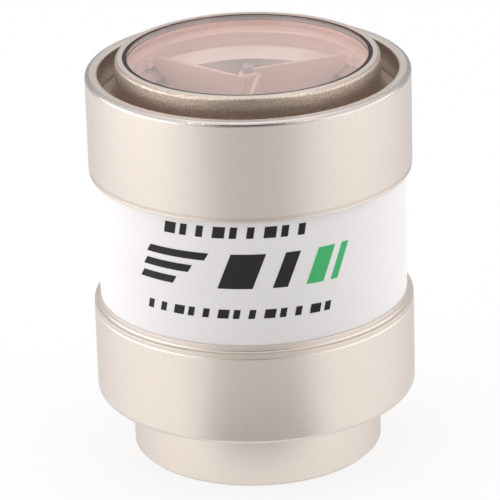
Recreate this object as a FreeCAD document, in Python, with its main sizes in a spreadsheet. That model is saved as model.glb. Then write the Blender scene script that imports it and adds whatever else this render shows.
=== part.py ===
import FreeCAD, Part
import os
import re
import Sketcher
from FreeCAD import Placement, Rotation, Vector

# Short-arc lamp in a ceramic and metal envelope, standing on its rear spigot.
# Millimetres. Z is the optical axis, z = 0 is the rear face of the spigot, and light leaves upwards.

# Driving sizes. Radii are built inwards from the collars by walls, steps and gaps,
# and heights are stacked upwards from the rear face.
SIZES = {
    # The two collars that heat sinks clamp on
    "collar_radius": 20.65,
    "collar_round": 0.3,
    "joint_gap": 0.05,
    "front_collar_height": 12.5,
    "front_face_width": 1.6,
    "rear_collar_height": 11.9,
    "rear_collar_wall": 1.75,
    "rear_collar_round": 0.8,
    "rear_lip": 1.5,
    "rear_shoulder": 0.4,
    # Weld seams between the collars and the thin flanges
    "seam_width": 0.2,
    "seam_depth": 0.33,
    # Flanges brazed to the ends of the ceramic
    "flange_step": 0.05,
    "flange_sheet": 0.35,
    "cup_height": 0.9,
    "cup_wall": 0.24,
    "cup_round": 0.3,
    # Ceramic tube
    "ceramic_step": 0.87,
    "ceramic_wall": 3.0,
    "ceramic_height": 17.55,
    "ceramic_chamfer": 0.25,
    # Window and its drawn shell
    "groove_width": 2.28,
    "groove_depth": 3.53,
    "shell_wall": 0.92,
    "shell_foot": 0.9,
    "shell_bend": 1.4,
    "shell_rise": 1.85,
    "crown_round": 0.25,
    "window_recess": 0.08,
    "window_thickness": 3.5,
    "window_chamfer": 0.15,
    "seal_wall": 0.4,
    "seal_inset": 0.25,
    "seal_drop": 0.05,
    # Ring and blades that hold the cathode
    "strut_ring_wall": 1.35,
    "strut_ring_height": 2.0,
    "strut_ring_round": 0.3,
    "strut_turn": 21.0,
    "blade_sheet": 0.5,
    "blade_rise": 1.27,
    "blade_depth": 6.0,
    "blade_lift": 0.1,
    "blade_inset": 2.7,
    "blade_overrun": 0.3,
    "foot_sheet": 0.5,
    "foot_length": 4.0,
    # Electrodes
    "arc_gap": 1.2,
    "cathode_radius": 1.2,
    "cathode_rise": 1.1,
    "cathode_tip_radius": 0.25,
    "cathode_cone": 1.65,
    "cathode_chamfer": 0.15,
    "anode_radius": 3.2,
    "anode_tip_radius": 1.4,
    "anode_cone": 1.8,
    # Reflector
    "rim_drop": 0.4,
    "rim_thickness": 2.0,
    "rim_ledge": 0.55,
    "barrel_gap": 0.1,
    "ceramic_gap": 0.38,
    "bevel_width": 1.8,
    "bevel_height": 1.2,
    "bowl_depth": 14.4,
    "bowl_long_radius": 60.0,
    "neck_gap": 1.4,
    "neck_wall": 3.9,
    "neck_length": 1.6,
    "neck_straight": 1.5,
    "shoulder_height": 6.5,
    # Base, anode block and filling tube
    "collar_overhang": 4.55,
    "spigot_height": 7.96,
    "spigot_chamfer": 0.4,
    "disc_drop": 0.9,
    "block_radius": 8.0,
    "block_sink": 6.0,
    "block_gap": 2.5,
    "block_chamfer": 1.2,
    "socket_depth": 3.0,
    "recess_radius": 5.0,
    "recess_depth": 7.0,
    "recess_chamfer": 0.5,
    "tube_radius": 1.6,
    "tube_wall": 0.6,
    "tube_seat": 2.0,
    "pinch_start": 2.6,
    "pinch_length": 2.2,
    "pinch_half_width": 2.3,
    "pinch_half_sheet": 0.2,
    "vent_radius": 0.8,
    "vent_inset": 3.8,
    "vent_rise": 2.0,
    # Getter
    "getter_gap": 2.5,
    "getter_wall": 1.5,
    "getter_height": 1.5,
    "getter_chamfer": 0.2,
}

# Radii that follow from the driving sizes
RADII = {
    "spigot_radius": "collar_radius - collar_overhang",
    "shoulder_radius": "spigot_radius + rear_shoulder",
    "lip_bore": "shoulder_radius + joint_gap",
    "flange_radius": "collar_radius - flange_step",
    "seam_radius": "collar_radius - seam_depth",
    "ceramic_radius": "collar_radius - ceramic_step",
    "ceramic_bore": "ceramic_radius - ceramic_wall",
    "barrel_radius": "ceramic_bore - ceramic_gap",
    "rim_radius": "barrel_radius + rim_ledge",
    "front_bore": "collar_radius - front_face_width",
    "shell_foot_radius": "front_bore - joint_gap",
    "shell_radius": "front_bore - groove_width",
    "shell_bore": "shell_radius - shell_wall",
    "window_radius": "shell_bore - seal_wall",
    "strut_ring_bore": "shell_bore - strut_ring_wall",
    "mouth_radius": "strut_ring_bore - bevel_width",
    "bowl_short_radius": "mouth_radius / sqrt(2 * bowl_depth / bowl_long_radius"
                         " - (bowl_depth / bowl_long_radius) ^ 2)",
    "neck_hole": "anode_radius + neck_gap",
    "neck_radius": "neck_hole + neck_wall",
    "blade_offset": "cathode_radius + blade_sheet / 2",
    "rear_bore": "collar_radius - rear_collar_wall",
    "disc_radius": "rear_bore - joint_gap",
    "getter_bore": "block_radius + getter_gap",
    "vent_place": "disc_radius - vent_inset",
}

# Heights that follow from the driving sizes
LEVELS = {
    "rear_seat": "spigot_height + rear_lip",
    "rear_edge": "spigot_height + rear_collar_height",
    "lower_flange_floor": "rear_edge + seam_width",
    "ceramic_floor": "lower_flange_floor + flange_sheet",
    "ceramic_top": "ceramic_floor + ceramic_height",
    "front_floor": "ceramic_top + flange_sheet",
    "front_edge": "front_floor + seam_width",
    "front_top": "front_edge + front_collar_height",
    "shell_seat": "front_top - groove_depth - shell_foot",
    "shell_top": "front_top + shell_rise",
    "window_top": "shell_top - window_recess",
    "window_floor": "window_top - window_thickness",
    "rim_top": "shell_seat - rim_drop",
    "rim_seat": "rim_top - rim_thickness",
    "mouth_level": "rim_top - bevel_height",
    "bowl_floor": "mouth_level - bowl_depth",
    "bowl_centre": "bowl_floor + bowl_long_radius",
    "arc_level": "bowl_centre - sqrt(bowl_long_radius ^ 2 - bowl_short_radius ^ 2)",
    "reflector_floor": "bowl_floor - neck_length",
    "blade_top": "rim_top + blade_rise",
    "blade_foot": "rim_top + blade_lift",
    "cathode_tip": "arc_level + arc_gap / 2",
    "anode_tip": "arc_level - arc_gap / 2",
    "disc_top": "rear_edge - disc_drop",
    "block_floor": "disc_top - block_sink",
    "block_top": "reflector_floor - block_gap",
    "socket_floor": "block_top - socket_depth",
    "tube_top": "recess_depth + tube_seat",
    "vent_level": "tube_top + vent_rise",
    "pinch_level": "recess_depth - pinch_start",
    "pinch_tip": "pinch_level - pinch_length",
}

document = FreeCAD.newDocument("ArcLamp")
sheet = document.addObject("Spreadsheet::Sheet", "Sizes")
for row, (alias, number) in enumerate(SIZES.items(), start=1):
    sheet.set("A%d" % row, alias)
    sheet.set("B%d" % row, str(number))
    sheet.setAlias("B%d" % row, alias)
document.recompute()


def bound(text):
    """Write an expression in the sheet's own cells."""

    def cell(match):
        word = match.group()
        if word in SIZES:
            return "Sizes." + word
        derived = RADII.get(word) or LEVELS.get(word)
        return "(" + bound(derived) + ")" if derived else word

    return re.sub(r"[a-z_]+", cell, text)


def value(text):
    """The present number of an expression."""
    return float(sheet.evalExpression(bound(text)))


def origin_plane(body, role):
    return next(plane for plane in body.Origin.OriginFeatures if plane.Role == role)


def new_sketch(body, name, role):
    sketch = body.newObject("Sketcher::SketchObject", name)
    sketch.AttachmentSupport = (origin_plane(body, role), "")
    sketch.MapMode = "FlatFace"
    return sketch


def draw(sketch, outline):
    """Draw a closed outline whose every corner is tied to the sheet."""
    corners = [Vector(value(across), value(up), 0) for across, up in outline]
    following = corners[1:] + corners[:1]
    lines = [Part.LineSegment(start, end) for start, end in zip(corners, following)]
    sketch.addGeometry(lines, False)
    for line in range(len(lines)):
        sketch.addConstraint(Sketcher.Constraint("Coincident", line, 2, (line + 1) % len(lines), 1))
    for line, (across, up) in enumerate(outline):
        for kind, axis, text in (("DistanceX", -2, across), ("DistanceY", -1, up)):
            if text == "0":
                sketch.addConstraint(Sketcher.Constraint("PointOnObject", line, 1, axis))
                continue
            number = sketch.addConstraint(Sketcher.Constraint(kind, -1, 1, line, 1, value(text)))
            sketch.setExpression("Constraints[%d]" % number, bound(text))


def turned(label, outline):
    """A body turned about the optical axis from its half section."""
    body = document.addObject("PartDesign::Body", label)
    body.Label = label
    sketch = new_sketch(body, label + "_section", "XZ_Plane")
    draw(sketch, outline)
    turn = body.newObject("PartDesign::Revolution", label + "_turn")
    turn.Profile = sketch
    turn.ReferenceAxis = (sketch, ["V_Axis"])
    turn.Angle = 360
    sketch.Visibility = False
    document.recompute()
    return body


def rings(feature, places):
    """Names of a feature's circular edges at the given radii and heights."""
    names = []
    for radius, height in places:
        for number, edge in enumerate(feature.Shape.Edges, start=1):
            curve = edge.Curve
            if not isinstance(curve, Part.Circle):
                continue
            off = abs(curve.Radius - value(radius)) + abs(curve.Center.z - value(height))
            if off < 1e-4:
                names.append("Edge%d" % number)
    return names


def eased(body, kind, size, places):
    """Round or chamfer the given edges of a body."""
    before = body.Tip
    feature = body.newObject("PartDesign::" + kind, body.Label + "_" + size)
    feature.Base = (before, rings(before, places))
    feature.setExpression("Radius" if kind == "Fillet" else "Size", bound(size))
    body.Tip = feature
    document.recompute()


def cylinder(name, radius, height, floor="0"):
    piece = document.addObject("Part::Cylinder", name)
    piece.setExpression("Radius", bound(radius))
    piece.setExpression("Height", bound(height))
    piece.setExpression("Placement.Base.z", bound(floor))
    return piece


def combined(kind, label, base, tool):
    piece = document.addObject("Part::" + kind, label)
    piece.Label = label
    piece.Base = base
    piece.Tool = tool
    return piece


def make_window():
    window = turned("window", [
        ("0", "window_floor"),
        ("window_radius", "window_floor"),
        ("window_radius", "window_top"),
        ("0", "window_top"),
    ])
    eased(window, "Chamfer", "window_chamfer", [
        ("window_radius", "window_top"),
        ("window_radius", "window_floor"),
    ])
    return window


def make_window_seal():
    """Braze between the window's edge and the shell, a dark ring round the glass."""
    return turned("window_seal", [
        ("window_radius", "window_floor + seal_inset"),
        ("shell_bore", "window_floor + seal_inset"),
        ("shell_bore", "window_top - seal_drop"),
        ("window_radius", "window_top - seal_drop"),
    ])


def make_window_shell():
    """Drawn ring: a flat land on top, and a wall that bends out into a foot in the collar."""
    shell = turned("window_shell", [
        ("shell_bore", "shell_seat"),
        ("shell_foot_radius", "shell_seat"),
        ("shell_foot_radius", "shell_seat + shell_foot"),
        ("shell_radius", "shell_seat + shell_foot"),
        ("shell_radius", "shell_top"),
        ("shell_bore", "shell_top"),
    ])
    eased(shell, "Fillet", "shell_bend", [("shell_radius", "shell_seat + shell_foot")])
    eased(shell, "Fillet", "crown_round", [("shell_radius", "shell_top")])
    return shell


def make_front_collar():
    """Heavy ring with one ledge for the window shell and one for the reflector's rim."""
    collar = turned("front_collar", [
        ("barrel_radius + barrel_gap", "front_floor"),
        ("seam_radius", "front_floor"),
        ("seam_radius", "front_edge"),
        ("collar_radius", "front_edge"),
        ("collar_radius", "front_top"),
        ("front_bore", "front_top"),
        ("front_bore", "shell_seat"),
        ("rim_radius + joint_gap", "shell_seat"),
        ("rim_radius + joint_gap", "rim_seat"),
        ("barrel_radius + barrel_gap", "rim_seat"),
    ])
    eased(collar, "Fillet", "collar_round", [
        ("collar_radius", "front_top"),
        ("front_bore", "front_top"),
        ("collar_radius", "front_edge"),
    ])
    return collar


def make_upper_flange():
    return turned("upper_flange", [
        ("ceramic_bore", "ceramic_top"),
        ("flange_radius", "ceramic_top"),
        ("flange_radius", "front_floor"),
        ("ceramic_bore", "front_floor"),
    ])


def make_ceramic_body():
    ceramic = turned("ceramic_body", [
        ("ceramic_bore", "ceramic_floor"),
        ("ceramic_radius", "ceramic_floor"),
        ("ceramic_radius", "ceramic_top"),
        ("ceramic_bore", "ceramic_top"),
    ])
    eased(ceramic, "Chamfer", "ceramic_chamfer", [
        ("ceramic_radius", "ceramic_top"),
        ("ceramic_bore", "ceramic_top"),
    ])
    return ceramic


def make_lower_flange():
    """Sheet ring whose low cup stands round the foot of the ceramic."""
    flange = turned("lower_flange", [
        ("ceramic_bore", "lower_flange_floor"),
        ("flange_radius", "lower_flange_floor"),
        ("flange_radius", "ceramic_floor"),
        ("ceramic_radius + cup_wall", "ceramic_floor"),
        ("ceramic_radius + cup_wall", "ceramic_floor + cup_height"),
        ("ceramic_radius", "ceramic_floor + cup_height"),
        ("ceramic_radius", "ceramic_floor"),
        ("ceramic_bore", "ceramic_floor"),
    ])
    eased(flange, "Fillet", "cup_round", [("ceramic_radius + cup_wall", "ceramic_floor")])
    return flange


def make_rear_collar():
    """Heavy ring whose in-turned lip carries the base."""
    collar = turned("rear_collar", [
        ("lip_bore", "spigot_height"),
        ("collar_radius", "spigot_height"),
        ("collar_radius", "rear_edge"),
        ("seam_radius", "rear_edge"),
        ("seam_radius", "lower_flange_floor"),
        ("rear_bore", "lower_flange_floor"),
        ("rear_bore", "rear_seat"),
        ("lip_bore", "rear_seat"),
    ])
    eased(collar, "Fillet", "rear_collar_round", [("collar_radius", "spigot_height")])
    eased(collar, "Fillet", "collar_round", [("collar_radius", "rear_edge")])
    return collar


def drill(body, name, radius, height, place):
    """Bore a round passage out of a body, from place = (x, z), upwards or outwards."""
    across, up, turn = place
    hole = body.newObject("PartDesign::SubtractiveCylinder", name)
    hole.setExpression("Radius", bound(radius))
    hole.setExpression("Height", bound(height))
    hole.Placement = Placement(Vector(0, 0, 0), turn)
    hole.setExpression("Placement.Base.x", bound(across))
    hole.setExpression("Placement.Base.z", bound(up))
    body.Tip = hole
    document.recompute()


def make_anode_base():
    """Base with the spigot below, a disc in the rear collar and the filling passage."""
    base = turned("anode_base", [
        ("0", "tube_top"),
        ("tube_radius", "tube_top"),
        ("tube_radius", "recess_depth"),
        ("recess_radius", "recess_depth"),
        ("recess_radius", "0"),
        ("spigot_radius", "0"),
        ("spigot_radius", "spigot_height"),
        ("shoulder_radius", "spigot_height"),
        ("shoulder_radius", "rear_seat"),
        ("disc_radius", "rear_seat"),
        ("disc_radius", "disc_top"),
        ("block_radius", "disc_top"),
        ("block_radius", "block_floor"),
        ("0", "block_floor"),
    ])
    eased(base, "Chamfer", "spigot_chamfer", [("spigot_radius", "0")])
    eased(base, "Chamfer", "recess_chamfer", [("recess_radius", "0")])
    upwards = Rotation(Vector(0, 0, 1), 0)
    outwards = Rotation(Vector(0, 1, 0), 90)
    drill(base, "filling_bore", "vent_radius", "vent_rise", ("0", "tube_top", upwards))
    drill(base, "cross_bore", "vent_radius", "vent_place", ("0", "vent_level", outwards))
    drill(base, "vent", "vent_radius", "disc_top - vent_level", ("vent_place", "vent_level", upwards))
    return base


def make_anode_block():
    """Copper block let into the base, with a socket for the anode."""
    block = turned("anode_block", [
        ("0", "block_floor"),
        ("block_radius", "block_floor"),
        ("block_radius", "block_top"),
        ("anode_radius", "block_top"),
        ("anode_radius", "socket_floor"),
        ("0", "socket_floor"),
    ])
    eased(block, "Chamfer", "block_chamfer", [("block_radius", "block_top")])
    return block


def make_anode():
    return turned("anode", [
        ("0", "socket_floor"),
        ("anode_radius", "socket_floor"),
        ("anode_radius", "anode_tip - anode_cone"),
        ("anode_tip_radius", "anode_tip"),
        ("0", "anode_tip"),
    ])


def make_cathode():
    """Rod that hangs in the three blades, with its cone pointing down at the anode."""
    cathode = turned("cathode", [
        ("0", "cathode_tip"),
        ("cathode_tip_radius", "cathode_tip"),
        ("cathode_radius", "cathode_tip + cathode_cone"),
        ("cathode_radius", "blade_top + cathode_rise"),
        ("0", "blade_top + cathode_rise"),
    ])
    eased(cathode, "Chamfer", "cathode_chamfer", [("cathode_radius", "blade_top + cathode_rise")])
    return cathode


def make_reflector():
    """Turned blank with a rim and a neck, hollowed by an ellipsoid that has one focus at the arc."""
    slope = "(strut_ring_bore - neck_hole) * bevel_height / bevel_width"
    blank = turned("reflector_blank", [
        ("neck_hole", "reflector_floor"),
        ("neck_radius", "reflector_floor"),
        ("neck_radius", "reflector_floor + neck_straight"),
        ("barrel_radius", "reflector_floor + neck_straight + shoulder_height"),
        ("barrel_radius", "rim_seat"),
        ("rim_radius", "rim_seat"),
        ("rim_radius", "rim_top"),
        ("strut_ring_bore", "rim_top"),
        ("neck_hole", "rim_top - " + slope),
    ])
    bowl = document.addObject("Part::Ellipsoid", "reflector_bowl")
    bowl.setExpression("Radius1", bound("bowl_long_radius"))
    bowl.setExpression("Radius2", bound("bowl_short_radius"))
    bowl.setExpression("Placement.Base.z", bound("bowl_centre"))
    return combined("Cut", "reflector", blank, bowl)


def make_strut_ring():
    ring = turned("strut_ring", [
        ("strut_ring_bore", "rim_top"),
        ("shell_bore", "rim_top"),
        ("shell_bore", "rim_top + strut_ring_height"),
        ("strut_ring_bore", "rim_top + strut_ring_height"),
    ])
    eased(ring, "Fillet", "strut_ring_round", [("strut_ring_bore", "rim_top + strut_ring_height")])
    return ring


def make_strut(label, turn):
    """Thin blade on edge, tangent to the cathode, with a curved foot against the strut ring."""
    blade = document.addObject("PartDesign::Body", label + "_blade")
    sketch = new_sketch(blade, label + "_profile", "XZ_Plane")
    sketch.setExpression("AttachmentOffset.Base.z", bound("-(blade_offset)"))
    draw(sketch, [
        ("-(blade_overrun)", "blade_top - blade_depth"),
        ("mouth_radius - blade_inset", "blade_top - blade_depth"),
        ("mouth_radius - blade_overrun", "mouth_level + blade_lift"),
        ("strut_ring_bore - foot_sheet / 2", "blade_foot"),
        ("strut_ring_bore - foot_sheet / 2", "blade_top"),
        ("-(blade_overrun)", "blade_top"),
    ])
    pad = blade.newObject("PartDesign::Pad", label + "_pad")
    pad.Profile = sketch
    pad.SideType = "Symmetric"
    pad.setExpression("Length", bound("blade_sheet"))
    blade.Placement = Placement(Vector(0, 0, 0), Vector(0, 0, 1), 0)
    blade.setExpression("Placement.Rotation.Angle", turn)

    span = "foot_length / strut_ring_bore * 180 / pi * 1 deg"
    sector = cylinder(label + "_foot_outside", "strut_ring_bore", "blade_top - blade_foot", "blade_foot")
    sector.setExpression("Angle", bound(span))
    start = bound("asin(blade_offset / strut_ring_bore) - (" + span + ") / 2")
    sector.setExpression("Placement.Rotation.Angle", turn + " + " + start)
    inside = cylinder(
        label + "_foot_inside", "strut_ring_bore - foot_sheet", "blade_top - blade_foot", "blade_foot"
    )
    foot = combined("Cut", label + "_foot", sector, inside)
    return combined("Fuse", label, blade, foot)


def make_gas_tube():
    """Copper tube in the rear recess, pinched flat at its end."""
    outside = cylinder("tube_outside", "tube_radius", "tube_top - pinch_level", "pinch_level")
    inside = cylinder("tube_inside", "tube_radius - tube_wall", "tube_top - pinch_level", "pinch_level")
    tube = combined("Cut", "open_tube", outside, inside)
    round_end = document.addObject("Part::Circle", "pinch_round_end")
    round_end.setExpression("Radius", bound("tube_radius"))
    round_end.setExpression("Placement.Base.z", bound("pinch_level"))
    flat_end = document.addObject("Part::Ellipse", "pinch_flat_end")
    flat_end.setExpression("MajorRadius", bound("pinch_half_width"))
    flat_end.setExpression("MinorRadius", bound("pinch_half_sheet"))
    flat_end.setExpression("Placement.Base.z", bound("pinch_tip"))
    pinch = document.addObject("Part::Loft", "pinch")
    pinch.Sections = [round_end, flat_end]
    pinch.Solid = True
    return combined("Fuse", "gas_tube", tube, pinch)


def make_getter_ring():
    ring = turned("getter_ring", [
        ("getter_bore", "disc_top"),
        ("getter_bore + getter_wall", "disc_top"),
        ("getter_bore + getter_wall", "disc_top + getter_height"),
        ("getter_bore", "disc_top + getter_height"),
    ])
    eased(ring, "Chamfer", "getter_chamfer", [
        ("getter_bore", "disc_top + getter_height"),
        ("getter_bore + getter_wall", "disc_top + getter_height"),
    ])
    return ring


pieces = [
    make_window(),
    make_window_seal(),
    make_window_shell(),
    make_front_collar(),
    make_upper_flange(),
    make_ceramic_body(),
    make_lower_flange(),
    make_rear_collar(),
    make_anode_base(),
    make_anode_block(),
    make_anode(),
    make_cathode(),
    make_reflector(),
    make_strut_ring(),
    make_gas_tube(),
    make_getter_ring(),
]
STRUT_NAMES = ("strut_right", "strut_left", "strut_front")
for place, strut_name in enumerate(STRUT_NAMES):
    step = 360 * place // len(STRUT_NAMES)
    pieces.append(make_strut(strut_name, "Sizes.strut_turn * 1 deg + %d deg" % step))

document.recompute()
for thing in document.Objects:
    if {"Invalid", "Error"} & set(thing.State):
        raise RuntimeError(thing.Label + " did not build")

os.makedirs("parts", exist_ok=True)
for piece in pieces:
    shape = piece.Shape
    if shape.isNull() or not shape.isValid() or len(shape.Solids) != 1:
        raise RuntimeError(piece.Label + " is not one valid solid")
    shape.exportStep("parts/" + piece.Label + ".step")
    print("%-14s %9.1f mm3" % (piece.Label, shape.Volume))
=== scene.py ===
import math

import bmesh
import bpy
from mathutils import Euler, Matrix, Vector


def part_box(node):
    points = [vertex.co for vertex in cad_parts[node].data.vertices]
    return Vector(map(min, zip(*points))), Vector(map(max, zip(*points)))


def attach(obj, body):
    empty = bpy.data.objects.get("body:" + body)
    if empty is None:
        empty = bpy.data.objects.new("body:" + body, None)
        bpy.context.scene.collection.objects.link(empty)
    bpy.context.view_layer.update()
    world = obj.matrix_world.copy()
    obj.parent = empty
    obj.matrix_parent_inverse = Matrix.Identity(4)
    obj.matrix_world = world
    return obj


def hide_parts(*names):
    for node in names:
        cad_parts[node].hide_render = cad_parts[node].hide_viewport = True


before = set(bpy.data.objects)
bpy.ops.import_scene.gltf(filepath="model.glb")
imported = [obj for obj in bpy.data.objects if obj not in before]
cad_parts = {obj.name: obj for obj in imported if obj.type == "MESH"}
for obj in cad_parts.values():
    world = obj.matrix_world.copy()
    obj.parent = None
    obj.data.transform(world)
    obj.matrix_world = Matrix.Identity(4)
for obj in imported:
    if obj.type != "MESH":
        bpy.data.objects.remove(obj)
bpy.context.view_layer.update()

# The short-arc lamp stands on its rear spigot, window up, with its optical axis on Z.
# Sizes are millimetres until a mesh is finished, and are turned to metres there.
MM = 0.001


def floor_of(node):
    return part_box(node)[0][2] / MM


def top_of(node):
    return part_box(node)[1][2] / MM


def radius_of(node):
    low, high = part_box(node)
    return (high[0] - low[0]) / 2 / MM


# Camera

FOCAL_LENGTH = 264.9
SENSOR_WIDTH = 36.0
CAMERA_DISTANCE = 473.69
CAMERA_ASIDE = -0.38
CAMERA_DROP = math.radians(22.134)
CAMERA_ROLL = math.radians(1.659)
AIM_HEIGHT = 26.07


def make_camera():
    """A long lens that looks down on the lamp, rolled a little as in the photograph."""
    data = bpy.data.cameras.new("camera")
    data.lens = FOCAL_LENGTH
    data.sensor_width = SENSOR_WIDTH
    data.clip_start = 0.01
    data.clip_end = 20
    camera = bpy.data.objects.new("camera", data)
    back = CAMERA_DISTANCE * math.cos(CAMERA_DROP)
    rise = AIM_HEIGHT + CAMERA_DISTANCE * math.sin(CAMERA_DROP)
    place = Vector((CAMERA_ASIDE, -back, rise)) * MM
    tilt = Euler((math.pi / 2 - CAMERA_DROP, 0, 0)).to_matrix()
    turn = tilt @ Matrix.Rotation(-CAMERA_ROLL, 3, "Z")
    camera.matrix_world = Matrix.Translation(place) @ turn.to_4x4()
    bpy.context.collection.objects.link(camera)
    bpy.context.scene.camera = camera


# Shapes

AROUND = 256
SMALL_AROUND = 96
CORNER_STEPS = 5
MERGE_DISTANCE = 1e-5
AXIS_REACH = 1e-6
HOLD = 0.02
SHORT_STRAIGHT = 8 * HOLD
SHARP_CORNER = math.radians(35)


def finished(bm, name, material, node=None):
    """Turn a bmesh in millimetres into a smooth piece of the lamp."""
    bmesh.ops.remove_doubles(bm, verts=bm.verts, dist=MERGE_DISTANCE)
    bmesh.ops.recalc_face_normals(bm, faces=bm.faces)
    bmesh.ops.scale(bm, vec=(MM, MM, MM), verts=bm.verts)
    for face in bm.faces:
        face.smooth = True
    mesh = bpy.data.meshes.new(name)
    bm.to_mesh(mesh)
    bm.free()
    mesh.set_sharp_from_angle(angle=SHARP_CORNER)
    mesh.materials.append(material)
    piece = bpy.data.objects.new(name, mesh)
    bpy.context.collection.objects.link(piece)
    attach(piece, "root")
    if node:
        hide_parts(node)
    return piece


def section(bm, corners):
    """Draw a half section. Each corner is (radius, height) or (radius, height, rounding)."""
    verts = [bm.verts.new((corner[0], 0, corner[1])) for corner in corners]
    bm.faces.new(verts)
    for vert, corner in zip(verts, corners):
        if len(corner) == 3:
            bmesh.ops.bevel(
                bm, geom=[vert], offset=corner[2], offset_type="OFFSET", segments=CORNER_STEPS,
                profile=0.5, affect="VERTICES", material=-1,
            )


def hold_straights(bm):
    """Cut long straights close to their ends, so that smooth shading keeps flat faces flat."""
    for edge in bm.edges[:]:
        if edge.calc_length() < SHORT_STRAIGHT:
            continue
        for vert in list(edge.verts):
            new_edge = bmesh.utils.edge_split(edge, vert, HOLD / edge.calc_length())[0]
            if vert in edge.verts:
                edge = new_edge


def turned(name, corners, material, node, around=AROUND):
    """Spin a half section into a turned piece."""
    bm = bmesh.new()
    section(bm, corners)
    bmesh.ops.delete(bm, geom=bm.faces[:], context="FACES_ONLY")
    on_axis = [edge for edge in bm.edges if all(vert.co.x < AXIS_REACH for vert in edge.verts)]
    bmesh.ops.delete(bm, geom=on_axis, context="EDGES")
    hold_straights(bm)
    bmesh.ops.spin(
        bm, geom=bm.verts[:] + bm.edges[:], axis=(0, 0, 1), cent=(0, 0, 0),
        angle=2 * math.pi, steps=around, use_merge=True,
    )
    return finished(bm, name, material, node)


# Materials


def new_material(name):
    material = bpy.data.materials.new(name)
    material.use_nodes = True
    tree = material.node_tree
    places = tree.nodes.new("ShaderNodeTexCoord")
    return material, tree, tree.nodes["Principled BSDF"], places.outputs["Object"]


def noise(tree, places, scale, detail=2.0):
    """Noise with about scale features to the metre."""
    texture = tree.nodes.new("ShaderNodeTexNoise")
    texture.inputs["Scale"].default_value = scale
    texture.inputs["Detail"].default_value = detail
    tree.links.new(places, texture.inputs["Vector"])
    return texture.outputs["Fac"]


def ranged(tree, value, low, high, start=0.35, end=0.65):
    """Map a noise value to a range."""
    node = tree.nodes.new("ShaderNodeMapRange")
    node.inputs["From Min"].default_value = start
    node.inputs["From Max"].default_value = end
    node.inputs["To Min"].default_value = low
    node.inputs["To Max"].default_value = high
    tree.links.new(value, node.inputs["Value"])
    return node.outputs["Result"]


def blended(tree, share, first, second):
    """Mix two colours by a share."""
    node = tree.nodes.new("ShaderNodeMix")
    node.data_type = "RGBA"
    sockets = [socket for socket in node.inputs if socket.type == "RGBA"]
    for socket, colour in zip(sockets, (first, second)):
        socket.default_value = (*colour, 1)
    tree.links.new(share, node.inputs["Factor"])
    return next(socket for socket in node.outputs if socket.type == "RGBA")


def bumped(tree, shader, height, strength, depth):
    """Raise the grain by a depth in metres."""
    bump = tree.nodes.new("ShaderNodeBump")
    bump.inputs["Strength"].default_value = strength
    bump.inputs["Distance"].default_value = depth
    tree.links.new(height, bump.inputs["Height"])
    tree.links.new(bump.outputs["Normal"], shader.inputs["Normal"])


CLOUDS = 130
SPECKLE = 4200


def metal(
    name, colour, stain, edge, roughness, grain, strength=0.5, depth=0.000003, clouding=CLOUDS
):
    """Metal with faint clouds and a fine grain."""
    material, tree, shader, places = new_material(name)
    shader.inputs["Metallic"].default_value = 1
    shader.inputs["Specular Tint"].default_value = (*edge, 1)
    clouds = noise(tree, places, clouding, 3)
    colours = blended(tree, ranged(tree, clouds, 0, 1), colour, stain)
    tree.links.new(colours, shader.inputs["Base Color"])
    fine = noise(tree, places, grain)
    tree.links.new(ranged(tree, fine, *roughness), shader.inputs["Roughness"])
    bumped(tree, shader, fine, strength, depth)
    return material


def painted(name, colour, stain, roughness, grain, strength=0.25, depth=0.000004):
    """Ceramic, ink or paper: a matt surface with faint clouds."""
    material, tree, shader, places = new_material(name)
    clouds = noise(tree, places, CLOUDS, 3)
    colours = blended(tree, ranged(tree, clouds, 0, 1), colour, stain)
    tree.links.new(colours, shader.inputs["Base Color"])
    fine = noise(tree, places, grain)
    tree.links.new(ranged(tree, fine, *roughness), shader.inputs["Roughness"])
    bumped(tree, shader, fine, strength, depth)
    return material


def heightened(tree, places, start, end):
    """A share that rises from nothing at one height to the whole at another, in metres."""
    split = tree.nodes.new("ShaderNodeSeparateXYZ")
    tree.links.new(places, split.inputs["Vector"])
    return ranged(tree, split.outputs["Z"], 0, 1, start, end)


# Painted shade on the blasted sheet: its colour is multiplied by a grey that is full at the groove's
# mouth and fades to none at the groove floor.
GROOVE_FLOOR = 0.0474
GROOVE_MOUTH = 0.0520
PAINTED_MOUTH_SHADE = (0.68, 0.66, 0.64)


def make_blasted():
    """Grainy sheet. Its colour is painted darker towards its land than down in the groove: painted
    shade at the top that evens out the real shade in the groove.
    """
    material = metal(
        "blasted_nickel", (1.0, 0.88, 0.78), (0.68, 0.57, 0.48), PLATE_EDGE, (0.34, 0.48), 4200,
        1.0, 0.00004, 5200)
    tree = material.node_tree
    shader = tree.nodes["Principled BSDF"]
    grain = shader.inputs["Base Color"].links[0].from_socket
    places = tree.nodes["Texture Coordinate"].outputs["Object"]
    level = heightened(tree, places, GROOVE_FLOOR, GROOVE_MOUTH)
    shade = blended(tree, level, (1.0, 1.0, 1.0), PAINTED_MOUTH_SHADE)
    product = tree.nodes.new("ShaderNodeMix")
    product.data_type = "RGBA"
    product.blend_type = "MULTIPLY"
    product.inputs["Factor"].default_value = 1
    first, second = [socket for socket in product.inputs if socket.type == "RGBA"]
    tree.links.new(grain, first)
    tree.links.new(shade, second)
    result = next(socket for socket in product.outputs if socket.type == "RGBA")
    tree.links.new(result, shader.inputs["Base Color"])
    return material


BRAZE_DARK = (0.13, 0.10, 0.105)
# Painted light: the paler colour of the braze's lower part, seen through the glass.
BRAZE_PAINTED_LIGHT = (0.95, 0.80, 0.76)
BRAZE_LINE = 0.0513
BRAZE_FADE = 0.0002
PALE_METALLIC = 0.4


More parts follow.
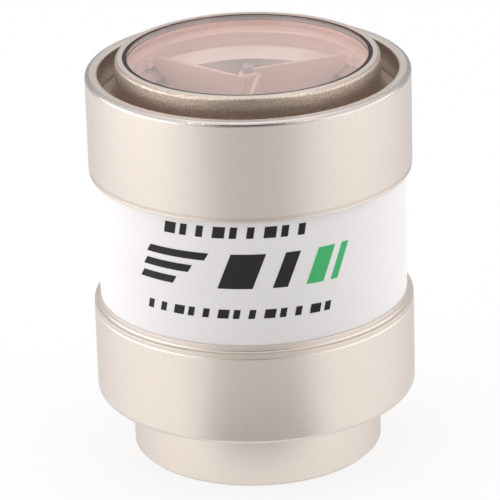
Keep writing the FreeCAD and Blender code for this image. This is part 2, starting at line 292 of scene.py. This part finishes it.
def make_braze():
    """Dark at the land of the shell. Paler further down, where it is seen through the glass: there
    the colour is painted light on a wall that the lamps hardly reach.
    """
    material, tree, shader, places = new_material("braze")
    shader.inputs["Specular Tint"].default_value = (*DARK_EDGE, 1)
    level = heightened(tree, places, BRAZE_LINE, BRAZE_LINE + BRAZE_FADE)
    tree.links.new(ranged(tree, level, PALE_METALLIC, 1, 0, 1), shader.inputs["Metallic"])
    colours = blended(tree, level, BRAZE_PAINTED_LIGHT, BRAZE_DARK)
    tree.links.new(colours, shader.inputs["Base Color"])
    fine = noise(tree, places, 3000)
    tree.links.new(ranged(tree, fine, 0.40, 0.55), shader.inputs["Roughness"])
    bumped(tree, shader, fine, 0.5, 0.000003)
    return material


GLASS_TINT = (1.0, 0.93, 0.91)
COAT_TINT = (1.0, 0.80, 0.76)
COAT_SHARE = 0.08
SAPPHIRE_INDEX = 1.76


def make_glass():
    """Clear window whose coating mirrors a little pink. Lamps shine through it."""
    material, tree, shader, _ = new_material("filter_glass")
    shader.inputs["Base Color"].default_value = (*GLASS_TINT, 1)
    shader.inputs["Transmission Weight"].default_value = 1
    shader.inputs["IOR"].default_value = SAPPHIRE_INDEX
    shader.inputs["Specular IOR Level"].default_value = 0
    shader.inputs["Roughness"].default_value = 0
    coat = tree.nodes.new("ShaderNodeBsdfAnisotropic")
    coat.inputs["Color"].default_value = (*COAT_TINT, 1)
    coat.inputs["Roughness"].default_value = 0
    coated = tree.nodes.new("ShaderNodeMixShader")
    coated.inputs["Fac"].default_value = COAT_SHARE
    tree.links.new(shader.outputs["BSDF"], coated.inputs[1])
    tree.links.new(coat.outputs["BSDF"], coated.inputs[2])
    through = tree.nodes.new("ShaderNodeBsdfTransparent")
    through.inputs["Color"].default_value = (*GLASS_TINT, 1)
    path = tree.nodes.new("ShaderNodeLightPath")
    mix = tree.nodes.new("ShaderNodeMixShader")
    tree.links.new(path.outputs["Is Shadow Ray"], mix.inputs["Fac"])
    tree.links.new(coated.outputs["Shader"], mix.inputs[1])
    tree.links.new(through.outputs["BSDF"], mix.inputs[2])
    tree.links.new(mix.outputs["Shader"], tree.nodes["Material Output"].inputs["Surface"])
    return material


PLATE_EDGE = (0.70, 0.70, 0.76)
BRIGHT_EDGE = (0.9, 0.9, 0.9)
DARK_EDGE = (0.5, 0.5, 0.5)
PLATE_ROUGHNESS = (0.37, 0.47)
PLATE_GRAIN = 4500
PLATE_RELIEF = 0.000006
STRUT_METALLIC = 0.1
INK_ROUGHNESS = (0.35, 0.5)
INK_GRAIN = 6000
INK_SHINE = 0.2

satin = metal(
    "satin_nickel", (0.775, 0.70, 0.635), (0.745, 0.67, 0.605), PLATE_EDGE, PLATE_ROUGHNESS,
    PLATE_GRAIN, 1.0, PLATE_RELIEF, SPECKLE)
blasted = make_blasted()
bevel_metal = metal(
    "bevel_metal", (0.82, 0.75, 0.69), (0.80, 0.73, 0.67), BRIGHT_EDGE, (0.28, 0.34), 4000, 0.3)
mirror = metal(
    "mirror_coat", (0.51, 0.48, 0.45), (0.50, 0.47, 0.44), BRIGHT_EDGE, (0.40, 0.44), 900, 0.0)
# Painted shade: a darker copy of the plate for the collar's rounded top edge, for the dark band along
# it. Its lower roughness is the edge's own polish.
edge_painted_shade = metal(
    "edge_painted_shade", (0.62, 0.56, 0.53), (0.60, 0.54, 0.51), PLATE_EDGE, (0.24, 0.29), 5000)
# Painted shade: a darker copy of the satin plate for the bore faces in the collar's groove.
groove_painted_shade = metal(
    "groove_painted_shade", (0.58, 0.51, 0.47), (0.54, 0.47, 0.43), PLATE_EDGE, (0.40, 0.50),
    PLATE_GRAIN)
# Painted light: a paler copy of the satin plate for the rear collar and the base, which sit in shade
# low by the floor.
painted_lit_nickel = metal(
    "painted_lit_nickel", (0.825, 0.745, 0.675), (0.795, 0.715, 0.645), PLATE_EDGE, PLATE_ROUGHNESS,
    PLATE_GRAIN, 1.0, PLATE_RELIEF, SPECKLE)
strut_metal = metal(
    "strut_metal", (1.0, 0.77, 0.69), (0.97, 0.74, 0.66), BRIGHT_EDGE, (0.30, 0.38), 3000, 0.3)
strut_metal.node_tree.nodes["Principled BSDF"].inputs["Metallic"].default_value = STRUT_METALLIC
tungsten = metal(
    "tungsten", (0.62, 0.66, 0.74), (0.58, 0.62, 0.70), BRIGHT_EDGE, (0.30, 0.38), 3500)
copper = metal(
    "copper", (0.80, 0.45, 0.30), (0.72, 0.40, 0.27), BRIGHT_EDGE, (0.22, 0.32), 3500)
braze = make_braze()
getter_metal = metal(
    "getter_metal", (0.22, 0.22, 0.23), (0.18, 0.18, 0.19), DARK_EDGE, (0.5, 0.7), 6000, 1.0, 0.00002)
ceramic = painted(
    "white_ceramic", (0.875, 0.85, 0.845), (0.86, 0.835, 0.83), (0.38, 0.50), 5000)
dark_ink = painted(
    "dark_ink", (0.020, 0.018, 0.019), (0.026, 0.024, 0.025), INK_ROUGHNESS, INK_GRAIN)
green_ink = painted(
    "green_ink", (0.055, 0.46, 0.155), (0.065, 0.49, 0.17), INK_ROUGHNESS, INK_GRAIN)
for ink in (dark_ink, green_ink):
    ink.node_tree.nodes["Principled BSDF"].inputs["Specular IOR Level"].default_value = INK_SHINE
glass = make_glass()

# Envelope. These sizes can't be read from the nodes' boxes.

SEAM = 0.2
SEAM_DEPTH = 0.15
JOINT_GAP = 0.05
COLLAR_ROUND = 0.3
COLLAR_EDGE = 0.58
REAR_ROUND = 0.8
REAR_WALL = 1.75
REAR_LIP = 1.5
GROOVE_WIDTH = 2.28
SHELL_FOOT = 0.9
SHELL_BEND = 1.4
CROWN_ROUND = 0.5
CERAMIC_WALL = 3.0
CERAMIC_ROUND = 0.25
SHEET = 0.35
SHEET_ROUND = 0.08
CUP_WALL = 0.24
CUP_ROUND = 0.3
WINDOW_BEVEL = 0.15
METAL_EDGE = 0.15
RING_WALL = 1.35
RING_ROUND = 0.3
LEDGE = 0.55
RIM_THICKNESS = 2.0
BEVEL_WIDTH = 1.8
BEVEL_HEIGHT = 1.2
BARREL_GAP = 0.1
OVERHANG = 4.55
SHOULDER = 0.4
SPIGOT_HEIGHT = 7.96
SPIGOT_CHAMFER = 0.4
RECESS_RADIUS = 5.0
RECESS_DEPTH = 7.0
RECESS_CHAMFER = 0.5
TUBE_SEAT = 2.0

collar = radius_of("front_collar")
seam_radius = collar - SEAM_DEPTH
shell_seat = floor_of("window_shell")
rim_seat = top_of("reflector") - RIM_THICKNESS
front_bore = radius_of("window_shell") + JOINT_GAP
shell_radius = front_bore - GROOVE_WIDTH
shell_bore = radius_of("strut_ring")
ring_bore = shell_bore - RING_WALL
barrel_bore = radius_of("reflector") - LEDGE + BARREL_GAP
ceramic_radius = radius_of("ceramic_body")
ceramic_bore = ceramic_radius - CERAMIC_WALL
spigot = collar - OVERHANG
lip_bore = spigot + SHOULDER + JOINT_GAP


def make_front_collar():
    floor = floor_of("front_collar")
    top = top_of("front_collar")
    pocket = radius_of("reflector") + JOINT_GAP
    piece = turned("front_collar_turned", [
        (barrel_bore, floor),
        (seam_radius, floor),
        (seam_radius, floor + SEAM),
        (collar, floor + SEAM, COLLAR_ROUND),
        (collar, top, COLLAR_EDGE),
        (front_bore, top, COLLAR_ROUND),
        (front_bore, shell_seat),
        (pocket, shell_seat),
        (pocket, rim_seat),
        (barrel_bore, rim_seat),
    ], satin, "front_collar")
    piece.data.materials.append(edge_painted_shade)
    piece.data.materials.append(groove_painted_shade)
    for face in piece.data.polygons:
        reach = math.hypot(face.center.x, face.center.y) / MM
        # Painted shade: faces on the rounded top edge take the darker edge copy.
        if face.center.z / MM > top - COLLAR_EDGE and reach > collar - COLLAR_EDGE:
            face.material_index = 1
        # Painted shade: faces in the groove take the darker groove copy.
        elif reach < front_bore + JOINT_GAP:
            face.material_index = 2


def make_window_shell():
    top = top_of("window_shell")
    foot = shell_seat + SHELL_FOOT
    piece = turned("window_shell_drawn", [
        (shell_bore, shell_seat),
        (front_bore - JOINT_GAP, shell_seat),
        (front_bore - JOINT_GAP, foot),
        (shell_radius, foot, SHELL_BEND),
        (shell_radius, top, CROWN_ROUND),
        (shell_bore, top),
    ], blasted, "window_shell")
    piece.data.materials.append(bevel_metal)
    piece.data.materials.append(strut_metal)
    for face in piece.data.polygons:
        reach = math.hypot(face.center.x, face.center.y) / MM
        if reach < shell_bore + JOINT_GAP:
            face.material_index = 2
        elif face.center.z / MM > top - JOINT_GAP:
            face.material_index = 1


def make_flanges():
    upper = floor_of("upper_flange")
    rim = radius_of("upper_flange")
    turned("upper_flange_sheet", [
        (ceramic_bore, upper),
        (rim, upper, SHEET_ROUND),
        (rim, top_of("upper_flange"), SHEET_ROUND),
        (ceramic_bore, top_of("upper_flange")),
    ], satin, "upper_flange")
    lower = floor_of("lower_flange")
    sheet = lower + SHEET
    cup = ceramic_radius + CUP_WALL
    turned("lower_flange_cup", [
        (ceramic_bore, lower),
        (rim, lower, SHEET_ROUND),
        (rim, sheet, SHEET_ROUND),
        (cup, sheet, CUP_ROUND),
        (cup, top_of("lower_flange"), SHEET_ROUND),
        (ceramic_radius, top_of("lower_flange")),
        (ceramic_radius, sheet),
        (ceramic_bore, sheet),
    ], satin, "lower_flange")


def make_ceramic_tube():
    turned("ceramic_tube", [
        (ceramic_bore, floor_of("ceramic_body")),
        (ceramic_radius, floor_of("ceramic_body")),
        (ceramic_radius, top_of("ceramic_body"), CERAMIC_ROUND),
        (ceramic_bore, top_of("ceramic_body")),
    ], ceramic, "ceramic_body")


def make_rear_collar():
    floor = floor_of("rear_collar")
    top = top_of("rear_collar")
    turned("rear_collar_turned", [
        (lip_bore, floor),
        (collar, floor, REAR_ROUND),
        (collar, top - SEAM, COLLAR_ROUND),
        (seam_radius, top - SEAM),
        (seam_radius, top),
        (collar - REAR_WALL, top),
        (collar - REAR_WALL, floor + REAR_LIP),
        (lip_bore, floor + REAR_LIP),
    ], painted_lit_nickel, "rear_collar")


def make_base():
    top = top_of("anode_base")
    block = radius_of("anode_block")
    tube = radius_of("gas_tube")
    seat = SPIGOT_HEIGHT + REAR_LIP
    disc = collar - REAR_WALL - JOINT_GAP
    turned("base_turned", [
        (0, RECESS_DEPTH + TUBE_SEAT),
        (tube, RECESS_DEPTH + TUBE_SEAT),
        (tube, RECESS_DEPTH),
        (RECESS_RADIUS, RECESS_DEPTH),
        (RECESS_RADIUS, RECESS_CHAMFER),
        (RECESS_RADIUS + RECESS_CHAMFER, 0),
        (spigot - SPIGOT_CHAMFER, 0),
        (spigot, SPIGOT_CHAMFER),
        (spigot, SPIGOT_HEIGHT),
        (spigot + SHOULDER, SPIGOT_HEIGHT),
        (spigot + SHOULDER, seat),
        (disc, seat),
        (disc, top),
        (block, top),
        (block, floor_of("anode_block")),
        (0, floor_of("anode_block")),
    ], painted_lit_nickel, "anode_base")


def make_window():
    low = floor_of("window")
    high = top_of("window")
    edge = radius_of("window")
    disc = turned("window_disc", [
        (0, low),
        (edge, low, WINDOW_BEVEL),
        (edge, high, WINDOW_BEVEL),
        (edge - METAL_EDGE, high),
        (0, high),
    ], glass, "window")
    disc.data.materials.append(braze)
    for face in disc.data.polygons:
        reach = math.hypot(face.center.x, face.center.y) / MM
        if face.center.z / MM > high - WINDOW_BEVEL and reach > edge - METAL_EDGE:
            face.material_index = 1
    turned("window_braze", [
        (edge, floor_of("window_seal")),
        (shell_bore, floor_of("window_seal")),
        (shell_bore, top_of("window_seal")),
        (edge, top_of("window_seal")),
    ], braze, "window_seal")


# Cathode suspension

STRUTS = ("strut_right", "strut_left", "strut_front")
BLADE_TURNS = (21, 141, 261)
BLADE_OFFSET = 1.45
BLADE_SHEET = 0.5
BLADE_RISE = 1.27
BLADE_LIFT = 0.1
BLADE_INSET = 2.7
BLADE_OVERRUN = 0.3
BLADE_BEVEL = 0.07
FOOT_SHEET = 0.5
FOOT_LENGTH = 4.0
FOOT_STEPS = 12
BEAD = 0.17
BEAD_ASIDE = 1.4
BEAD_LEVELS = (0.35, 0.95)
CATHODE_TIP = 0.25
CATHODE_CONE = 1.65
CATHODE_BEVEL = 0.15
CATHODE_SHOULDER = 0.1
CATHODE_STUB = 0.75


def make_strut_ring():
    floor = floor_of("strut_ring")
    top = top_of("strut_ring")
    turned("strut_ring_turned", [
        (ring_bore, floor),
        (shell_bore, floor),
        (shell_bore, top),
        (ring_bore, top, RING_ROUND),
    ], strut_metal, "strut_ring")


def make_cathode():
    tip = floor_of("cathode")
    top = top_of("cathode")
    rod = radius_of("cathode")
    shoulder = top_of("strut_front") + CATHODE_SHOULDER
    piece = turned("cathode_rod", [
        (0, tip),
        (CATHODE_TIP, tip),
        (rod, tip + CATHODE_CONE),
        (rod, shoulder, CATHODE_BEVEL),
        (CATHODE_STUB, shoulder),
        (CATHODE_STUB, top, CATHODE_BEVEL),
        (0, top),
    ], tungsten, "cathode", SMALL_AROUND)
    piece.data.materials.append(strut_metal)
    for face in piece.data.polygons:
        if tip + CATHODE_CONE < face.center.z / MM < shoulder + JOINT_GAP:
            face.material_index = 1


def make_weld_beads():
    """Two pairs of spot welds on each blade's foot."""
    bm = bmesh.new()
    reach = ring_bore - FOOT_SHEET
    middle = math.asin(BLADE_OFFSET / ring_bore)
    for turn in BLADE_TURNS:
        for side in (-1, 1):
            angle = math.radians(turn) + middle + side * BEAD_ASIDE / reach
            for level in BEAD_LEVELS:
                height = floor_of("strut_ring") + level
                place = Vector((reach * math.cos(angle), reach * math.sin(angle), height))
                bmesh.ops.create_icosphere(
                    bm, subdivisions=3, radius=BEAD, matrix=Matrix.Translation(place))
    finished(bm, "weld_beads", strut_metal)


def bar(bm, profile, shift, rounding):
    """Push a flat profile along a shift and break its edges."""
    face = bm.faces.new([bm.verts.new(spot) for spot in profile])
    pushed = bmesh.ops.extrude_face_region(bm, geom=[face])["geom"]
    verts = [item for item in pushed if isinstance(item, bmesh.types.BMVert)]
    bmesh.ops.translate(bm, vec=shift, verts=verts)
    bm.normal_update()
    sharp = [
        edge for edge in bm.edges
        if set(edge.verts) & set(verts) and abs(edge.calc_face_angle(0)) > SHARP_CORNER
    ]
    bmesh.ops.bevel(
        bm, geom=sharp, offset=rounding, offset_type="OFFSET", segments=2, profile=0.5,
        affect="EDGES", clamp_overlap=True, material=-1,
    )


def make_strut(node, turn):
    """A blade on edge, tangent to the cathode, and its curved foot on the ring."""
    high = top_of(node)
    low = floor_of(node)
    rim = high - BLADE_RISE
    mouth = ring_bore - BEVEL_WIDTH
    side = BLADE_OFFSET - BLADE_SHEET / 2
    bm = bmesh.new()
    profile = (
        (-BLADE_OVERRUN, low),
        (mouth - BLADE_INSET, low),
        (mouth - BLADE_OVERRUN, rim - BEVEL_HEIGHT + BLADE_LIFT),
        (ring_bore - FOOT_SHEET / 2, rim + BLADE_LIFT),
        (ring_bore - FOOT_SHEET / 2, high),
        (-BLADE_OVERRUN, high),
    )
    bar(bm, [(x, side, z) for x, z in profile], (0, BLADE_SHEET, 0), BLADE_BEVEL)
    middle = math.asin(BLADE_OFFSET / ring_bore)
    arc = []
    for radius, order in ((ring_bore, 1), (ring_bore - FOOT_SHEET, -1)):
        for step in range(FOOT_STEPS + 1):
            angle = middle + order * FOOT_LENGTH / ring_bore * (step / FOOT_STEPS - 0.5)
            arc.append((radius * math.cos(angle), radius * math.sin(angle), rim + BLADE_LIFT))
    bar(bm, arc, (0, 0, BLADE_RISE - BLADE_LIFT), BLADE_BEVEL)
    turning = Matrix.Rotation(math.radians(turn), 3, "Z")
    bmesh.ops.rotate(bm, cent=(0, 0, 0), matrix=turning, verts=bm.verts)
    finished(bm, node + "_blade", strut_metal, node)


def dress_inner_nodes():
    for node, material in (
        ("anode_block", copper),
        ("gas_tube", copper),
        ("getter_ring", getter_metal),
    ):
        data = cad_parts[node].data
        data.materials.clear()
        data.materials.append(material)


# Reflector and anode

BOWL_STEPS = 40
BOWL_DEPTH = 14.4
LONG_RADIUS = 60.0
NECK_HOLE = 4.6
NECK_RADIUS = 8.5
NECK_STRAIGHT = 1.5
CONE_HEIGHT = 8.0
ANODE_TIP = 1.4
ANODE_CONE = 1.8
ANODE_ROUND = 0.25


def make_reflector():
    rim = radius_of("reflector")
    top = top_of("reflector")
    floor = floor_of("reflector")
    mouth = ring_bore - BEVEL_WIDTH
    mouth_level = top - BEVEL_HEIGHT
    share = BOWL_DEPTH / LONG_RADIUS
    short_radius = mouth / math.sqrt(2 * share - share ** 2)
    centre = mouth_level - BOWL_DEPTH + LONG_RADIUS
    start = math.asin(NECK_HOLE / short_radius)
    end = math.asin(mouth / short_radius)
    bowl = []
    for step in range(BOWL_STEPS + 1):
        angle = end + (start - end) * step / BOWL_STEPS
        bowl.append((short_radius * math.sin(angle), centre - LONG_RADIUS * math.cos(angle)))
    piece = turned("reflector_bowl", [
        (NECK_HOLE, floor),
        (NECK_RADIUS, floor),
        (NECK_RADIUS, floor + NECK_STRAIGHT),
        (rim - LEDGE, floor + CONE_HEIGHT),
        (rim - LEDGE, rim_seat),
        (rim, rim_seat),
        (rim, top),
        (ring_bore, top),
    ] + bowl, bevel_metal, "reflector")
    piece.data.materials.append(mirror)
    for face in piece.data.polygons:
        reach = math.hypot(face.center.x, face.center.y) / MM
        facing = Vector((face.center.x, face.center.y, 0)).dot(face.normal)
        if reach < mouth and face.center.z / MM < mouth_level and facing < 0:
            face.material_index = 1


def make_anode():
    floor = floor_of("anode")
    top = top_of("anode")
    edge = radius_of("anode")
    turned("anode_turned", [
        (0, floor),
        (edge, floor),
        (edge, top - ANODE_CONE, ANODE_ROUND),
        (ANODE_TIP, top, ANODE_ROUND),
        (0, top),
    ], tungsten, "anode", SMALL_AROUND)


# Print on the ceramic: plain marks only

INK = 0.02
ARC_STEP = 0.4
PRINT_ROWS = 6
DASH_LEAN = 0.25
NARROW_DASH = 0.42
WIDE_DASH = 0.72
WIDE_EVERY = 3
BAR_HEIGHT = 1.0
BAR_LEAN = 0.6
BLOCK_LOW = 28.9
BLOCK_HIGH = 33.5
BLOCK_LEAN = 1.8


def make_print(name, material, marks):
    """Lay marks on the ceramic. A mark is (left, low, right, high, lean), round the front."""
    bm = bmesh.new()
    reach = ceramic_radius + INK
    for left, low, right, high, lean in marks:
        steps = max(1, round((right - left) / ARC_STEP))
        before = None
        for step in range(steps + 1):
            across = left + (right - left) * step / steps
            column = []
            for row in range(PRINT_ROWS + 1):
                rise = row / PRINT_ROWS
                angle = (across + lean * rise) / reach
                height = low + (high - low) * rise
                spot = (reach * math.sin(angle), -reach * math.cos(angle), height)
                column.append(bm.verts.new(spot))
            if before:
                for row in range(PRINT_ROWS):
                    bm.faces.new((before[row], column[row], column[row + 1], before[row + 1]))
            before = column
    finished(bm, name, material)


def make_prints():
    dashes = []
    for row, (level, height, left, count, pitch) in enumerate((
        (35.6, 1.5, -11.6, 9, 2.15),
        (24.9, 1.2, -14.5, 13, 1.95),
    )):
        for place in range(count):
            start = left + pitch * place
            width = pitch * (NARROW_DASH if (place + row) % WIDE_EVERY else WIDE_DASH)
            dashes.append((start, level, start + width, level + height, DASH_LEAN))
    bars = [
        (left, low, right, low + BAR_HEIGHT, BAR_LEAN)
        for left, low, right in ((-15.6, 28.9, -10.6), (-15.0, 30.7, -8.4), (-14.4, 32.5, -6.2))
    ]
    dark, green = [
        [(left, BLOCK_LOW, right, BLOCK_HIGH, BLOCK_LEAN) for left, right in blocks]
        for blocks in (((-4.6, -0.2), (2.3, 4.2)), ((6.6, 8.9), (9.9, 10.9)))
    ]
    make_print("dark_print", dark_ink, dashes + bars + dark)
    make_print("green_print", green_ink, green)


# Studio


def make_stage(name, corners, material):
    bm = bmesh.new()
    bm.faces.new([bm.verts.new(corner) for corner in corners])
    mesh = bpy.data.meshes.new(name)
    bm.to_mesh(mesh)
    bm.free()
    mesh.materials.append(material)
    piece = bpy.data.objects.new(name, mesh)
    bpy.context.collection.objects.link(piece)


PAPER_ROUGHNESS = (0.85, 0.95)
PAPER_GRAIN = 900
FLOOR_WHITE = 0.8


def paper_of(name, colour, stain):
    """Plain paper without any relief."""
    return painted(name, colour, stain, PAPER_ROUGHNESS, PAPER_GRAIN, 0.0)


def whiten(material):
    """Show the paper nearly white to the camera, and to metal and glass alike."""
    tree = material.node_tree
    path = tree.nodes.new("ShaderNodeLightPath")
    seen = path.outputs["Is Camera Ray"]
    for kind in ("Is Glossy Ray", "Is Transmission Ray"):
        either = tree.nodes.new("ShaderNodeMath")
        either.operation = "MAXIMUM"
        tree.links.new(seen, either.inputs[0])
        tree.links.new(path.outputs[kind], either.inputs[1])
        seen = either.outputs["Value"]
    share = tree.nodes.new("ShaderNodeMath")
    share.operation = "MULTIPLY"
    share.inputs[1].default_value = FLOOR_WHITE
    tree.links.new(seen, share.inputs[0])
    white = tree.nodes.new("ShaderNodeEmission")
    mix = tree.nodes.new("ShaderNodeMixShader")
    tree.links.new(share.outputs["Value"], mix.inputs["Fac"])
    tree.links.new(tree.nodes["Principled BSDF"].outputs["BSDF"], mix.inputs[1])
    tree.links.new(white.outputs["Emission"], mix.inputs[2])
    tree.links.new(mix.outputs["Shader"], tree.nodes["Material Output"].inputs["Surface"])


FLOOR_RADIUS = 3.0
FLOOR_CORNERS = 96


def make_floor():
    paper = paper_of("floor_paper", (0.93, 0.93, 0.93), (0.925, 0.925, 0.925))
    paper.node_tree.nodes["Principled BSDF"].inputs["Specular IOR Level"].default_value = 0
    corners = []
    for place in range(FLOOR_CORNERS):
        angle = 2 * math.pi * place / FLOOR_CORNERS
        corners.append((FLOOR_RADIUS * math.cos(angle), FLOOR_RADIUS * math.sin(angle), 0))
    whiten(paper)
    make_stage("floor", corners, paper)


CARD_CORNERS = ((-0.02, -0.042), (0.022, -0.042), (0.24, -0.34), (-0.21, -0.34))
NEAR_CORNERS = ((-0.016, -0.026), (0.018, -0.026), (0.022, -0.042), (-0.02, -0.042))
CARD_HEIGHT = 0.0005
FLAG_DISTANCE = 0.8
FLAG_HALF = 0.45
FLAG_LEVELS = (0.04, 0.90)
BOARD_DISTANCE = 0.8
BOARD_HALF = 1.2
BOARD_LEVELS = (0.0, 0.6)
FLAG_GREY = 0.03
BOARD_GREY = 0.75
BOARD_STAIN = 0.98


def upright(name, distance, half, levels, grey):
    """A paper board that stands across the axis of the picture, and out of it."""
    paper = paper_of(name + "_paper", (grey,) * 3, (grey * BOARD_STAIN,) * 3)
    low, high = levels
    corners = ((-half, low), (half, low), (half, high), (-half, high))
    make_stage(name, [(x, distance, z) for x, z in corners], paper)


def make_cards():
    """Two cards on the table and two boards, all out of the picture, for the metal to mirror."""
    card = paper_of("card_paper", (0.65, 0.64, 0.65), (0.64, 0.63, 0.64))
    make_stage("grey_card", [(x, y, CARD_HEIGHT) for x, y in CARD_CORNERS], card)
    near = paper_of("near_paper", (0.40, 0.40, 0.40), (0.39, 0.39, 0.39))
    make_stage("near_card", [(x, y, CARD_HEIGHT) for x, y in NEAR_CORNERS], near)
    upright("dark_flag", -FLAG_DISTANCE, FLAG_HALF, FLAG_LEVELS, FLAG_GREY)
    upright("back_board", BOARD_DISTANCE, BOARD_HALF, BOARD_LEVELS, BOARD_GREY)


SNOOT_ANGLE = math.radians(3.4)
SNOOT_RADIUS = 0.02
SIDE_BOX = (0.45, 0.14)
TOP_BOX = (0.50, 0.40)
SIDE_AIM = 0.03
TOP_AIM = 0.05
WORLD_STRENGTH = 1.0


def place_lamp(name, data, place, aim_height):
    """Hang a lamp and turn it to a point on the optical axis."""
    lamp = bpy.data.objects.new(name, data)
    lamp.location = place
    aim = Vector((0, 0, aim_height))
    lamp.rotation_euler = (aim - Vector(place)).to_track_quat("-Z", "Y").to_euler()
    bpy.context.collection.objects.link(lamp)


def add_softbox(name, place, size, power, aim_height):
    data = bpy.data.lights.new(name, "AREA")
    data.shape = "RECTANGLE"
    data.size, data.size_y = size
    data.energy = power
    place_lamp(name, data, place, aim_height)


def add_snoot(name, place, power):
    """A narrow lamp that shines through the window only."""
    data = bpy.data.lights.new(name, "SPOT")
    data.energy = power
    data.spot_size = SNOOT_ANGLE
    data.spot_blend = 1
    data.shadow_soft_size = SNOOT_RADIUS
    place_lamp(name, data, place, TOP_AIM)


def make_lights():
    world = bpy.data.worlds.new("studio")
    world.use_nodes = True
    background = world.node_tree.nodes["Background"]
    background.inputs["Color"].default_value = (1, 1, 1, 1)
    background.inputs["Strength"].default_value = WORLD_STRENGTH
    bpy.context.scene.world = world
    add_snoot("left_snoot", (-0.22, -0.22, 0.36), 5.0)
    add_snoot("right_snoot", (0.22, -0.22, 0.36), 4.4)
    add_softbox("top_softbox", (0, 0.1, 0.5), TOP_BOX, 0.3, TOP_AIM)
    add_softbox("left_softbox", (-0.32, -0.04, 0.075), SIDE_BOX, 0.38, SIDE_AIM)
    add_softbox("right_softbox", (0.32, -0.04, 0.075), SIDE_BOX, 0.20, SIDE_AIM)


make_camera()
make_front_collar()
make_window_shell()
make_flanges()
make_ceramic_tube()
make_rear_collar()
make_base()
make_window()
make_strut_ring()
make_cathode()
for strut, strut_turn in zip(STRUTS, BLADE_TURNS):
    make_strut(strut, strut_turn)
make_weld_beads()
dress_inner_nodes()
make_reflector()
make_anode()
make_prints()
make_floor()
make_cards()
make_lights()
bpy.context.scene.view_settings.view_transform = "Standard"
